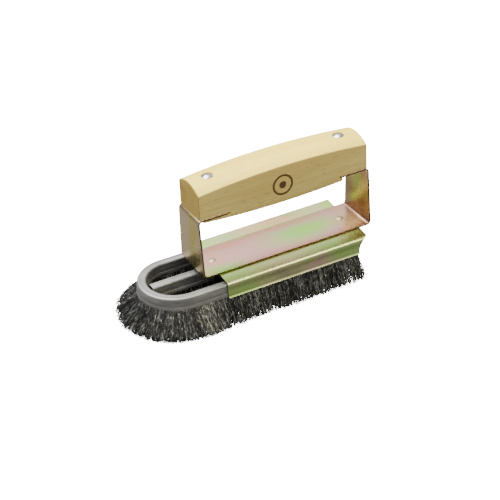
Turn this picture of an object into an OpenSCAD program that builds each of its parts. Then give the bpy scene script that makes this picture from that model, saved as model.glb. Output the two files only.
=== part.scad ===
// Hand-held wire brush with a bridge handle.
// X runs along the brush, with the U bend of the strip brush at -X.
// Y runs across it and Z is up. The wire tips stand on Z = 0, and the
// origin lies on the brush face under the middle of the handle.

/* [Brush strips] */
// Free length of the wires below the strip channels
wire_trim = 22.6; // [18:0.2:26]
// Width of a folded steel strip channel
channel_w = 7.6; // [7:0.1:8]
// Height of a folded steel strip channel
channel_h = 10; // [9.6:0.1:11]
// Sheet thickness of a strip channel
channel_t = 0.8; // [0.6:0.1:0.9]
// Radius of the U bend, to the middle of its channel
bend_r = 24.9; // [24.5:0.1:26]
// How far the middle of the U bend lies from the middle of the handle
bend_x = 82.5; // [74:0.5:86]
// How far the outer wires lean out at their tips round the bend
outer_flare = 15.5; // [12:0.5:17]

/* [Carrier] */
// Length of the carrier rail
carrier_l = 116; // [110:1:122]
// How far the carrier stands to the right of the middle of the handle
carrier_x = 1.6; // [0:0.1:2]
// Sheet thickness of the carrier rail
carrier_t = 1.1; // [1:0.1:1.2]
// Half width of the flat top of the carrier rail
carrier_flat = 18; // [17.6:0.1:18.4]
// Height that the top slopes down between the flat and the front shoulder
carrier_drop = 0.9; // [0.6:0.1:1.2]
// Height that the top rises between the flat and the back shoulder
carrier_rise = 1.5; // [0:0.1:1.8]
// Outer radius of the carrier's shoulders
shoulder_r = 2.6; // [2.2:0.1:2.8]
// How far the end stops stand in from the right end of the carrier
stop_inset = 8; // [6:0.5:10]

/* [Bracket] */
// Length of the bracket over both legs
bracket_l = 138.2; // [130:0.2:142]
// Width of the bracket strip at the base plate
bracket_w = 35; // [33:0.5:35.5]
// Width of the bracket strip at its top flanges
flange_w = 30.4; // [29:0.2:31]
// Sheet thickness of the bracket
bracket_t = 1.5; // [1.2:0.1:1.8]
// Height of the top flanges' upper face above the base plate
flange_h = 45; // [42:1:50]
// Length of a top flange, from the outside of its leg
flange_l = 23.1; // [18:0.1:24]
// How far each leg leans outwards at the top
leg_lean = 0.4; // [0:0.1:1]

/* [Handle] */
// Length of the wooden handle
handle_l = 136; // [128:0.2:138]
// Width of the wooden handle
handle_w = 30; // [28:0.5:32]
// Height of the wood above the flanges at its ends, to the side edges
handle_end_h = 19.3; // [17:0.1:22]
// Height of the crown across the handle
crown_h = 3.8; // [2:0.1:5]
// Rise of the top along the handle, from its ends to its middle
top_rise = 3.1; // [1:0.1:5]
// Thickness of the wood below the flanges at the handle's ends
lip_h = 1.1; // [0.8:0.1:2]
// Depth of the belly along the handle, from its ends to its middle
belly = 3.4; // [1:0.1:5]
// Radius that rounds the handle's lower back edge
back_round = 5; // [2:0.5:6]

/* [Rivets] */
// Distance of every rivet from the middle of the handle
rivet_x = 53; // [51:0.5:55]
// Shank diameter of the handle rivets
handle_rivet_d = 4.8; // [4:0.1:5]
// Head diameter of the handle rivets
handle_rivet_head = 8.2; // [7.5:0.1:9]
// Shank diameter of the base rivets
base_rivet_d = 3.6; // [3:0.1:4]
// Head diameter of the base rivets
base_rivet_head = 5.4; // [5:0.1:6]

/* [Hidden] */

$fn = 64;
eps = 0.01;
cut = 1;                                     // how far a cutting solid overshoots

// Heights, from the wire tips up
roof_gap = 1.8;                              // between the strips and the carrier's flat top
channel_top = wire_trim + channel_h;
carrier_roof = channel_top + roof_gap;       // underside of the carrier's flat top
plate_z = carrier_roof + carrier_t;          // underside of the bracket's base plate
base_z = plate_z + bracket_t;                // top of the base plate
flange_z = base_z + flange_h;                // top of the flanges
arris_end_z = flange_z + handle_end_h;       // crown's side edge at the handle's ends

// Strip channel section: a shoulder at the top, a waist and a bead at the bottom
waist_top = channel_top - 3.4;
waist_bottom = wire_trim + 5;
bead_h = 3.2;
waist_in = 0.6;                              // depth of the waist on each side
mouth_half = channel_w / 2 - channel_t;      // half width inside the channel
fill_gap = 0.05;                             // room between the wires and what holds them

// Core wire that the wires are folded over
core_r = 1.1;
fold_room = 0.5;                             // between the core wire and the roof
core_z = channel_top - channel_t - core_r - fill_gap - fold_room;

// Sliding clearance between the strips and the rails that hold them
slide_gap = 0.15;
rail_t = 0.9;

// Ends of the strips
carrier_left = carrier_x - carrier_l / 2;
carrier_right = carrier_x + carrier_l / 2;
leg_end_x = carrier_right - stop_inset - carrier_t - slide_gap;
centre_gap = 1.2;                            // between the centre strip and the inside of the bend
centre_start_x = -(bend_x + bend_r - channel_w / 2 - centre_gap);

// Wire fill
inner_tip_r = 12.5;                          // how far in the U strip's inner tips reach
tip_gap = 0.5;                               // room between the two wire fills
mouth_flare = 7;                             // lean of the outer wires where they enter the carrier
end_side_flare = 4.5;                        // lean of the outer wires at the right end
end_flare = 4.3;                             // how far the end wires lean out along X
fan_steps = 6;

// Circles through the two ends and the middle of a shallow arc
function arc_radius(chord, rise) = (chord * chord / 4 + rise * rise) / (2 * rise);

// Runs a section, drawn as [y, z], along X
module along_x(x0, x1) {
    translate([x0, 0, 0]) rotate([90, 0, 90]) linear_extrude(x1 - x0) children();
}

// Runs a section, drawn as [x, z], along Y
module along_y(y0, y1) {
    translate([0, y1, 0]) rotate([90, 0, 0]) linear_extrude(y1 - y0) children();
}

// Runs a section, drawn as [distance out, z], down both legs and round the bend of the U
module along_u(x_end) {
    along_x(-bend_x, x_end) children();
    mirror([0, 1, 0]) along_x(-bend_x, x_end) children();
    translate([-bend_x, 0, 0]) rotate([0, 0, 90]) rotate_extrude(angle = 180, $fn = 96) children();
}

// ---------- handle ----------

// Section across the handle: a flat-sided bar with a crowned top, drawn as [distance from
// the lengthwise arc's centre, y]
module handle_section(ridge) {
    crown_r = arc_radius(handle_w, crown_h);
    intersection() {
        translate([ridge - crown_r, 0]) circle(crown_r, $fn = 128);
        translate([ridge - 60, -handle_w / 2]) square([60, handle_w]);
    }
}

// Section under the crown, drawn as [distance from the belly arc's centre, -y], with the
// lower back edge rounded
module belly_section(belly_r) {
    reach = handle_w / 2;
    depth = arris_end_z + crown_h + top_rise - flange_z + 2 * belly + cut;
    difference() {
        translate([belly_r - depth, -reach - cut]) square([depth, handle_w + 2 * cut]);
        translate([belly_r - back_round, -reach - cut]) difference() {
            square([back_round + cut, back_round + cut]);
            translate([0, back_round + cut]) circle(back_round);
        }
    }
}

// The bar bent along its length, before its slots are cut
module handle_bar() {
    top_r = arc_radius(handle_l, top_rise);
    ridge_z = arris_end_z + crown_h + top_rise;
    belly_r = arc_radius(handle_l, belly);
    belly_z = flange_z - bracket_t - lip_h - belly;
    intersection() {
        translate([0, 0, ridge_z - top_r]) rotate([90, 0, 0]) rotate([0, 0, 80])
            rotate_extrude(angle = 20, $fn = 360) handle_section(top_r);
        translate([0, 0, belly_z + belly_r]) rotate([90, 0, 0]) rotate([0, 0, -100])
            rotate_extrude(angle = 20, $fn = 360) belly_section(belly_r);
        translate([-handle_l / 2, -handle_w, belly_z - cut])
            cube([handle_l, 2 * handle_w, ridge_z - belly_z + 2 * cut]);
    }
}

slot_h = bracket_t + 0.2;
slot_z = flange_z - bracket_t - 0.1;
flange_tip = bracket_l / 2 - flange_l;       // where the flanges end
left_slot_end = flange_tip - 2.2;
right_slot_end = flange_tip - 1.1;
rebate_x = right_slot_end + 2.3;             // shoulder of the rebate at the right end
lip_start = 3.2;                             // the lower lip stands this far in at the left end
head_seat = 0.2;                             // depth of a rivet head's seat in the crown
seat_z = arris_end_z + crown_h + top_rise * (1 - pow(2 * rivet_x / handle_l, 2)) - head_seat;

module handle() color("burlywood") difference() {
    handle_bar();
    // left end: a slot that the flange slides into, and room for the bend below it
    translate([-handle_l / 2 - cut, -handle_w, slot_z])
        cube([handle_l / 2 + cut - left_slot_end, 2 * handle_w, slot_h]);
    translate([-handle_l / 2 - cut, -handle_w, base_z + flange_h / 2])
        cube([lip_start + cut, 2 * handle_w, slot_z + slot_h - base_z - flange_h / 2]);
    // right end: a rebate that drops onto the flange, with a short slot at its shoulder
    translate([right_slot_end, -handle_w, slot_z]) cube([handle_l, 2 * handle_w, slot_h]);
    translate([rebate_x, -handle_w, base_z + flange_h / 2])
        cube([handle_l, 2 * handle_w, slot_z + slot_h - base_z - flange_h / 2]);
    // rivet holes, each with a shallow seat for the head
    for (side = [-1, 1]) translate([side * rivet_x, 0, 0]) {
        translate([0, 0, base_z]) cylinder(h = arris_end_z, d = handle_rivet_d);
        translate([0, 0, seat_z]) cylinder(h = 10, d = handle_rivet_head + 0.4);
    }
}

// ---------- bracket ----------

// Side view of one half of the bracket's strip: base plate, leg and flange
module bracket_half_outline() {
    r = 3.5;                                 // outer bend radius
    x = bracket_l / 2;
    t = bracket_t;
    slope = atan(leg_lean / flange_h);
    top = flange_h + t;
    difference() {
        union() {
            square([x - r, t]);
            translate([x - r, r]) circle(r);
            translate([x - r, r]) rotate(-slope) square([r, top - 2 * r]);
            translate([x - r + leg_lean, top - r]) circle(r);
            translate([x - flange_l, top - t]) square([flange_l - r + leg_lean, t]);
        }
        translate([0, t]) square([x - r - 0.001, r - t + 0.001]);
        translate([x - r, r]) circle(r - t);
        translate([x - 3 * r, r]) rotate(-slope) square([3 * r - t, top - 2 * r + t / 2]);
        translate([x - r + leg_lean, top - r]) circle(r - t);
        translate([x - flange_l - cut, top - r - 0.001])
            square([flange_l - r + leg_lean + cut, r - t + 0.001]);
    }
}

// Keeps the legs' taper from the base plate's width to the flanges' width
module bracket_taper() {
    along_x(-bracket_l, bracket_l) polygon([
        [-bracket_w / 2, plate_z - cut], [bracket_w / 2, plate_z - cut],
        [bracket_w / 2, base_z + 3], [flange_w / 2, flange_z - 3],
        [flange_w / 2, flange_z + cut], [-flange_w / 2, flange_z + cut],
        [-flange_w / 2, flange_z - 3], [-bracket_w / 2, base_z + 3]]);
}

module bracket() color("#B9B08C") difference() {
    intersection() {
        translate([0, 0, plate_z]) along_y(-bracket_w / 2, bracket_w / 2) {
            bracket_half_outline();
            mirror([1, 0]) bracket_half_outline();
        }
        bracket_taper();
    }
    for (side = [-1, 1]) translate([side * rivet_x, 0, 0]) {
        translate([0, 0, plate_z - cut]) cylinder(h = bracket_t + 2 * cut, d = base_rivet_d);
        translate([0, 0, flange_z - bracket_t - cut])
            cylinder(h = bracket_t + 2 * cut, d = handle_rivet_d);
    }
}

// ---------- handle rivets ----------

// A domed rivet: its head seats in the crown, its rolled tail bears at tail_z
module handle_rivet(tail_z) {
    head_h = 1.5;
    cap_r = arc_radius(handle_rivet_head, head_h);
    color("silver") {
        intersection() {
            translate([0, 0, seat_z + head_h - cap_r]) sphere(cap_r);
            translate([0, 0, seat_z]) cylinder(h = head_h + cut, d = handle_rivet_head + cut);
        }
        translate([0, 0, tail_z]) cylinder(h = seat_z - tail_z + 0.2, d = handle_rivet_d - 0.02);
        translate([0, 0, tail_z - 0.9]) cylinder(h = 0.9, d1 = 5.6, d2 = 7);
    }
}

module handle_rivet_left() {
    lip_drop = belly * (1 - pow(2 * rivet_x / handle_l, 2));
    translate([-rivet_x, 0, 0]) handle_rivet(flange_z - bracket_t - lip_h - lip_drop - 0.15);
}

module handle_rivet_right() {
    translate([rivet_x, 0, 0]) handle_rivet(flange_z - bracket_t - 0.01);
}

// ---------- carrier ----------

ridge_y = bend_r + channel_w / 2 + slide_gap;          // inner face of the carrier's lips
lip_bottom = wire_trim + 0.3;
crimp_in = waist_in - 0.05;                            // how far a lip is pressed in at the waist

// Half of the carrier's section, drawn as [y, z]; its shoulder stands drop below the flat
module carrier_half_section(drop) {
    t = carrier_t;
    z = carrier_roof;
    centre = [ridge_y + t - shoulder_r, z + t - drop - shoulder_r];
    function shoulder(r, angles) = [for (a = angles) centre + r * [cos(a), sin(a)]];
    outer = concat([[0, z + t], [carrier_flat, z + t]], shoulder(shoulder_r, [85:-17:0]),
                   [[ridge_y + t, waist_top + 1.2], [ridge_y + t - crimp_in, waist_top - 0.4],
                    [ridge_y + t - crimp_in, waist_bottom + 0.4], [ridge_y + t, waist_bottom - 1.2],
                    [ridge_y + t + 0.5, lip_bottom]]);
    inner = concat([[ridge_y + 0.5, lip_bottom], [ridge_y, waist_bottom - 1.2 - 0.1],
                    [ridge_y - crimp_in, waist_bottom + 0.3], [ridge_y - crimp_in, waist_top - 0.3],
                    [ridge_y, waist_top + 1.3]],
                   shoulder(shoulder_r - t, [0:17:85]), [[carrier_flat, z], [0, z]]);
    polygon(concat(outer, inner));
}

// Quarter ellipse that cuts each lip back at the right end
module lip_end_cut() {
    depth = stop_inset;
    height = plate_z - carrier_drop - lip_bottom;
    along_y(-ridge_y - 10, ridge_y + 10) polygon(concat(
        [[carrier_right + cut, lip_bottom - cut], [carrier_right + cut, lip_bottom + height]],
        [for (a = [90:-7.5:0]) [carrier_right - depth * cos(a), lip_bottom + height * sin(a)]],
        [[carrier_right - depth, lip_bottom - cut]]));
}

// Tab turned in from each lip, which stops the U strip's legs
module end_stop() {
    x = carrier_right - stop_inset - carrier_t;
    translate([x, ridge_y - channel_w, lip_bottom])
        cube([carrier_t, channel_w + carrier_t - 0.3, 5.5]);
}

module carrier() color("#AEB57C") difference() {
    union() {
        difference() {
            along_x(carrier_left, carrier_right) {
                carrier_half_section(-carrier_rise);
                mirror([1, 0]) carrier_half_section(carrier_drop);
            }
            lip_end_cut();
        }
        end_stop();
        mirror([0, 1, 0]) end_stop();
    }
    for (side = [-1, 1]) translate([side * rivet_x, 0, carrier_roof - cut])
        cylinder(h = carrier_t + 2 * cut, d = base_rivet_d);
}

// ---------- base rivets ----------

// A low flush rivet through the base plate and the carrier
module base_rivet() {
    dome_h = 0.6;
    tail_h = 0.9;
    cap_r = arc_radius(base_rivet_head, dome_h);
    color("#C9BFA0") {
        intersection() {
            translate([0, 0, base_z + dome_h - cap_r]) sphere(cap_r, $fn = 96);
            translate([0, 0, base_z]) cylinder(h = dome_h + cut, d = base_rivet_head + cut);
        }
        translate([0, 0, carrier_roof - tail_h])
            cylinder(h = base_z - carrier_roof + tail_h + 0.1, d = base_rivet_d - 0.02);
        translate([0, 0, carrier_roof - tail_h]) cylinder(h = tail_h, d = base_rivet_head);
    }
}

module base_rivet_left() translate([-rivet_x, 0, 0]) base_rivet();
module base_rivet_right() translate([rivet_x, 0, 0]) base_rivet();

// ---------- spacer rails ----------

// Arch section between the centre strip and one leg of the U, pressed into both waists
module spacer_section() {
    t = rail_t;
    z = carrier_roof;
    low = lip_bottom + 0.4;
    in_y = channel_w / 2 + slide_gap;
    out_y = bend_r - channel_w / 2 - slide_gap;
    grip = waist_in - 0.05;
    polygon([
        [in_y, low], [in_y, waist_bottom - 1.2], [in_y - grip, waist_bottom + 0.4],
        [in_y - grip, waist_top - 0.4], [in_y, waist_top + 1.2], [in_y, z - 1.6],
        [in_y + 1.6, z], [carrier_flat - 0.4, z], [out_y, z - 2],
        [out_y, waist_top + 1.2], [out_y + grip, waist_top - 0.4],
        [out_y + grip, waist_bottom + 0.4], [out_y, waist_bottom - 1.2], [out_y, low],
        [out_y - t, low], [out_y - t, waist_bottom - 1.2], [out_y + grip - t, waist_bottom + 0.4],
        [out_y + grip - t, waist_top - 0.4], [out_y - t, waist_top + 1.2], [out_y - t, z - 2.4],
        [carrier_flat - 0.9, z - t], [in_y + 2, z - t], [in_y + t, z - 2],
        [in_y + t, waist_top + 1.2], [in_y - grip + t, waist_top - 0.4],
        [in_y - grip + t, waist_bottom + 0.4], [in_y + t, waist_bottom - 1.2], [in_y + t, low]]);
}

spacer_end = carrier_right - stop_inset - carrier_t - 0.5;
module spacer_rail_back() color("#9FA377") along_x(carrier_left + 2, spacer_end) spacer_section();
module spacer_rail_front() mirror([0, 1, 0]) spacer_rail_back();

// ---------- strip channels ----------

// Outer outline of a strip channel about its own middle, drawn as [y, z]; grow widens it
function channel_side(grow) = [
    [channel_w / 2 - 0.3 + grow, wire_trim], [channel_w / 2 + grow, wire_trim + 0.4],
    [channel_w / 2 + grow, wire_trim + bead_h], [channel_w / 2 - waist_in + grow, waist_bottom],
    [channel_w / 2 - waist_in + grow, waist_top], [channel_w / 2 + grow, waist_top + 1],
    [channel_w / 2 + grow, channel_top - 1.2]];

module channel_section() {
    w = channel_w / 2;
    t = channel_t;
    roof = channel_top - t;
    hollow = mouth_half - waist_in;          // half width inside the waist
    right = concat(channel_side(0), [[w - 0.35, channel_top - 0.35], [w - 1.2, channel_top]]);
    left = [for (i = [len(right) - 1:-1:0]) [-right[i][0], right[i][1]]];
    inside = [[-w + t, wire_trim], [-w + t, wire_trim + bead_h - 0.3], [-hollow, waist_bottom],
              [-hollow, waist_top], [-w + t, waist_top + 1.2], [-w + t, roof - 0.8], [-w + t + 0.8, roof]];
    inside_right = [for (i = [len(inside) - 1:-1:0]) [-inside[i][0], inside[i][1]]];
    polygon(concat(right, left, inside, inside_right));
}

module u_strip_channel() color("#9A9A98")
    along_u(leg_end_x) translate([bend_r, 0]) channel_section();

module centre_strip_channel() color("#9A9A98")
    along_x(centre_start_x, leg_end_x) channel_section();

// ---------- core wires ----------

module u_strip_core_wire() color("dimgray")
    along_u(leg_end_x) translate([bend_r, core_z]) circle(core_r, $fn = 24);

module centre_strip_core_wire() color("dimgray")
    along_x(centre_start_x, leg_end_x) translate([0, core_z]) circle(core_r, $fn = 24);

// ---------- wires ----------

// Half width of the wires inside a channel, from the mouth up to the roof
function root_half() = mouth_half - waist_in - fill_gap;

// Part of the wires inside a channel, with the groove of the core wire
module root_section() {
    difference() {
        translate([-root_half(), wire_trim - eps])
            square([2 * root_half(), channel_top - channel_t - fill_gap - wire_trim + eps]);
        translate([0, core_z]) circle(core_r + fill_gap, $fn = 24);
    }
}

// Fan of tips from angle a0 to a1 from the vertical, all wire_trim long
function fan(a0, a1, start) = [for (i = [0:fan_steps])
    let (a = a0 + (a1 - a0) * i / fan_steps)
    [start + wire_trim * sin(a), wire_trim - wire_trim * cos(a)]];

// Wires under a channel of the U from its middle outwards, leaning out by flare at the tips
module outer_fan_section(flare) {
    out = bend_r + root_half();
    lean = asin(flare / wire_trim);
    polygon(concat([[bend_r, wire_trim], [bend_r, 0], [out, 0]],
                   fan(lean / fan_steps, lean, out), [[out, wire_trim]]));
}

// Wires under a channel of the U from its middle inwards, with the part inside the channel
module inner_fill_section() {
    translate([bend_r, 0]) root_section();
    polygon([[bend_r - root_half(), wire_trim], [inner_tip_r, 0], [bend_r + eps, 0],
             [bend_r + eps, wire_trim]]);
}

// Outer wires of one leg between two places along X, each given as [x, flare]
module outer_leg_fan(from, to) {
    hull() {
        along_x(from[0], from[0] + eps) outer_fan_section(from[1]);
        along_x(to[0] - eps, to[0]) outer_fan_section(to[1]);
    }
}

module outer_leg_wires() {
    mouth = [carrier_left, mouth_flare];
    outer_leg_fan([-bend_x, outer_flare], mouth);
    outer_leg_fan(mouth, [leg_end_x + end_flare, end_side_flare]);
}

// Takes the wires' right ends back to the slope that the end wires lean at
module end_slope() {
    along_y(-100, 100) polygon([
        [leg_end_x - 300, -cut], [leg_end_x + end_flare, -cut], [leg_end_x + end_flare, 0],
        [leg_end_x + end_flare, 4], [leg_end_x, wire_trim - 0.6], [leg_end_x, channel_top],
        [leg_end_x - 300, channel_top]]);
}

module u_strip_wires() color("#3A3A3A") intersection() {
    union() {
        along_u(leg_end_x + end_flare) inner_fill_section();
        translate([-bend_x, 0, 0]) rotate([0, 0, 90])
            rotate_extrude(angle = 180, $fn = 96) outer_fan_section(outer_flare);
        outer_leg_wires();
        mirror([0, 1, 0]) outer_leg_wires();
    }
    end_slope();
}

// Room inside the U strip's inner slope, round the bend and along the legs
module inside_u() {
    slope = (bend_r - root_half() - inner_tip_r) / wire_trim;
    section = [[0, 0], [inner_tip_r - tip_gap, 0],
               [inner_tip_r - tip_gap + slope * channel_top, channel_top], [0, channel_top]];
    translate([-bend_x, 0, 0]) rotate_extrude($fn = 96) polygon(section);
    along_x(-bend_x, leg_end_x + end_flare) {
        polygon(section);
        mirror([1, 0]) polygon(section);
    }
}

module centre_strip_wires() color("#3A3A3A") intersection() {
    along_x(centre_start_x, leg_end_x + end_flare) {
        root_section();
        polygon([[-root_half(), wire_trim], [-inner_tip_r + tip_gap, 0],
                 [inner_tip_r - tip_gap, 0], [root_half(), wire_trim]]);
    }
    inside_u();
    end_slope();
}

handle();
bracket();
handle_rivet_left();
handle_rivet_right();
carrier();
base_rivet_left();
base_rivet_right();
spacer_rail_front();
spacer_rail_back();
u_strip_channel();
u_strip_core_wire();
u_strip_wires();
centre_strip_channel();
centre_strip_core_wire();
centre_strip_wires();
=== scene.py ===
"""Hand wire brush: wooden handle, chromated bracket and carrier, strip brushes of crimped wire."""

import math

import bmesh
import bpy
import numpy as np
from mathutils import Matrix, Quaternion, Vector


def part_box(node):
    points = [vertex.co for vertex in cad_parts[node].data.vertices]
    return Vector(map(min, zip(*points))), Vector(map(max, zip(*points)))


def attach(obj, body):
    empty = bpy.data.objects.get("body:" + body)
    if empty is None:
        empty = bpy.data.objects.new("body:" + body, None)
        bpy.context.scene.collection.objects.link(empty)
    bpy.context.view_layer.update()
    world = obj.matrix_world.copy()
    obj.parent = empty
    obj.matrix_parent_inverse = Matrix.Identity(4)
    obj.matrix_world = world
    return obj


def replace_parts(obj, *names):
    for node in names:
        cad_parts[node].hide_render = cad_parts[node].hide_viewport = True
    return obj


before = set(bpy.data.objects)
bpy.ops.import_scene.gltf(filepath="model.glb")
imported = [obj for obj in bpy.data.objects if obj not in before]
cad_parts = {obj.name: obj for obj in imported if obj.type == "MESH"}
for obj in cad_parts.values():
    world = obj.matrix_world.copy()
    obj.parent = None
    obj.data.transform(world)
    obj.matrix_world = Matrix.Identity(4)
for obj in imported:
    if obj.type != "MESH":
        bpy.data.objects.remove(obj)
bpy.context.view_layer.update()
MM = 0.001
rng = np.random.default_rng(7)


# ---------- sizes read from the frame ----------

handle_lo, handle_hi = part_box("handle")
HALF_LENGTH = handle_hi.x
HALF_WIDTH = handle_hi.y

bracket_lo, bracket_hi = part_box("bracket")
FLANGE_TOP = bracket_hi.z

rivet_lo, rivet_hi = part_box("handle_rivet_right")
RIVET_X = (rivet_lo.x + rivet_hi.x) / 2
RIVET_TOP = rivet_hi.z
HEAD_R = (rivet_hi.x - rivet_lo.x) / 2

u_lo, u_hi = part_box("u_strip_channel")
mid_lo, mid_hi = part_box("centre_strip_channel")
STRIP_HALF = mid_hi.y
BEND_R = u_hi.y - STRIP_HALF
BEND_X = u_lo.x + u_hi.y
LEG_END_X = u_hi.x
TRIM = u_lo.z
CARRIER_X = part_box("carrier")[0].x


# ---------- colours ----------

SIDE_WOOD = ("C6AC64", "D2BE76", "DCCA84")       # deep, mean and light wood of the sawn sides
CROWN_WOOD_LIT = ("F0CC44", "F8DC52", "FCE660")      # of the crown: a lighter, yellower copy of the wood, painted light from above
END_WOOD = ("8E742E", "A28A3E", "B29848")        # of the end grain
WOOD_LINE, WOOD_FLECK, BURNT_WOOD = "B89448", "8A6630", "3A220C"
# the second colour darkens the sheets' cut edges: partly raw cut steel, partly painted shade
CHROMATE_GREY, CUT_EDGE_AND_SHADE = "8F8A66", "3A3018"
PINK, SALMON, LILAC = "D8A494", "E0987C", "CCA4A0"
GREEN, LIME, OLIVE = "9CCC68", "A0D048", "9A9A50"
GOLD, TAN, BROWN = "DAC66A", "C4A880", "8A6A34"
STRAW, AMBER = "DCC698", "98803E"


# ---------- materials ----------

def srgb(text):
    """Linear colour, with alpha, from a hex colour such as C8B4AC."""
    parts = [int(text[i:i + 2], 16) / 255 for i in (0, 2, 4)]
    return [p / 12.92 if p <= 0.04045 else ((p + 0.055) / 1.055) ** 2.4 for p in parts] + [1.0]


class Paint:
    """A material and a short way to add nodes to it."""

    def __init__(self, name):
        self.material = bpy.data.materials.new(name)
        self.material.use_nodes = True
        self.tree = self.material.node_tree
        self.shader = self.tree.nodes["Principled BSDF"]
        self.place = self.add("ShaderNodeTexCoord").outputs["Object"]

    def add(self, kind, inputs=None, **settings):
        node = self.tree.nodes.new(kind)
        for key, value in settings.items():
            setattr(node, key, value)
        for key, value in (inputs or {}).items():
            self.set(node.inputs[key], value)
        return node

    def set(self, socket, value):
        if isinstance(value, bpy.types.NodeSocket):
            self.tree.links.new(value, socket)
        else:
            socket.default_value = value

    def finish(self, **sockets):
        """Sets the shader's sockets, such as Base_Color for its Base Color."""
        for key, value in sockets.items():
            self.set(self.shader.inputs[key.replace("_", " ")], value)
        return self.material

    def math(self, operation, a, b=0.0, c=0.0, clamp=False):
        return self.add("ShaderNodeMath", {0: a, 1: b, 2: c}, operation=operation,
                        use_clamp=clamp).outputs[0]

    def noise(self, scale, stretch=(1, 1, 1), detail=3.0, roughness=0.5, distortion=0.0,
              offset=(0, 0, 0)):
        """Noise with scale cells a metre, stretched by the given factors."""
        at = self.add("ShaderNodeMapping",
                      {"Vector": self.place, "Location": offset,
                       "Scale": [scale / s for s in stretch]}).outputs[0]
        return self.add("ShaderNodeTexNoise", {"Vector": at, "Scale": 1.0, "Detail": detail,
                                               "Roughness": roughness,
                                               "Distortion": distortion}).outputs["Fac"]

    def ramp(self, value, stops, interpolation="LINEAR"):
        """A colour ramp; stops is a list of (position, colour or grey level)."""
        node = self.add("ShaderNodeValToRGB", {"Fac": value})
        node.color_ramp.interpolation = interpolation
        points = node.color_ramp.elements
        while len(points) < len(stops):
            points.new(0.5)
        for point, (position, colour) in zip(points, stops):
            point.position = position
            point.color = srgb(colour) if isinstance(colour, str) else [colour] * 3 + [1.0]
        return node.outputs["Color"]

    def mix(self, factor, a, b, blend="MIX"):
        node = self.add("ShaderNodeMix", data_type="RGBA", blend_type=blend)
        self.set(node.inputs[0], factor)
        self.set(node.inputs[6], srgb(a) if isinstance(a, str) else a)
        self.set(node.inputs[7], srgb(b) if isinstance(b, str) else b)
        return node.outputs[2]

    def bump(self, height, strength, distance):
        return self.add("ShaderNodeBump", {"Height": height, "Strength": strength,
                                           "Distance": distance}).outputs[0]

    def axes(self):
        return self.add("ShaderNodeSeparateXYZ", {"Vector": self.place}).outputs

    def vector(self, operation, a, b):
        return self.add("ShaderNodeVectorMath", {0: a, 1: b}, operation=operation).outputs[0]

    def warped(self, scale, amount):
        """The place, pushed about by up to half of amount, so that patches get uneven edges."""
        push = self.add("ShaderNodeTexNoise", {"Vector": self.place, "Scale": scale,
                                               "Detail": 2.0}).outputs["Color"]
        push = self.vector("SUBTRACT", push, (0.5, 0.5, 0.5))
        push = self.vector("MULTIPLY", push, (amount, amount, amount))
        return self.vector("ADD", self.place, push)

    def patch(self, at, centre, reach):
        """1 at centre, falling to 0 at reach along each axis; both in millimetres."""
        away = self.vector("SUBTRACT", at, [c * MM for c in centre])
        away = self.vector("DIVIDE", away, [r * MM for r in reach])
        far = self.add("ShaderNodeVectorMath", {0: away}, operation="LENGTH").outputs["Value"]
        return self.add("ShaderNodeMapRange", {"Value": far, "From Min": 0.15, "From Max": 1.0,
                                               "To Min": 1.0, "To Max": 0.0},
                        interpolation_type="SMOOTHSTEP").outputs["Result"]

    def attribute(self, name):
        return self.add("ShaderNodeAttribute", attribute_name=name).outputs["Fac"]


MARK_CENTRE = (-1.6 * MM, 90.3 * MM)   # of the burnt ring on the front face, in x and z
MARK_RING_R = 7.4 * MM
MARK_LINE = 1.35 * MM
MARK_DOT_R = 2.7 * MM
BURN_EDGE = 0.5 * MM           # width over which a burnt line fades


def burnt_mark(paint):
    """How strongly the wood is burnt: a plain ring round a dot, on the front face only."""
    x, y, z = paint.axes()
    dx = paint.math("SUBTRACT", x, MARK_CENTRE[0])
    dz = paint.math("SUBTRACT", z, MARK_CENTRE[1])
    radius = paint.math("SQRT", paint.math("ADD", paint.math("MULTIPLY", dx, dx),
                                           paint.math("MULTIPLY", dz, dz)))
    ragged = paint.math("MULTIPLY_ADD", paint.noise(900), BURN_EDGE, -BURN_EDGE / 2)
    radius = paint.math("ADD", radius, ragged)
    ring = paint.math("ABSOLUTE", paint.math("SUBTRACT", radius, MARK_RING_R))
    nearest = paint.math("MINIMUM", paint.math("SUBTRACT", ring, MARK_LINE / 2),
                         paint.math("SUBTRACT", radius, MARK_DOT_R))
    soft = paint.math("MULTIPLY_ADD", nearest, -1 / BURN_EDGE, 0.8, clamp=True)
    front = paint.math("LESS_THAN", y, -HALF_WIDTH + 0.5 * MM)
    return paint.math("MULTIPLY", soft, front)


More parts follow.
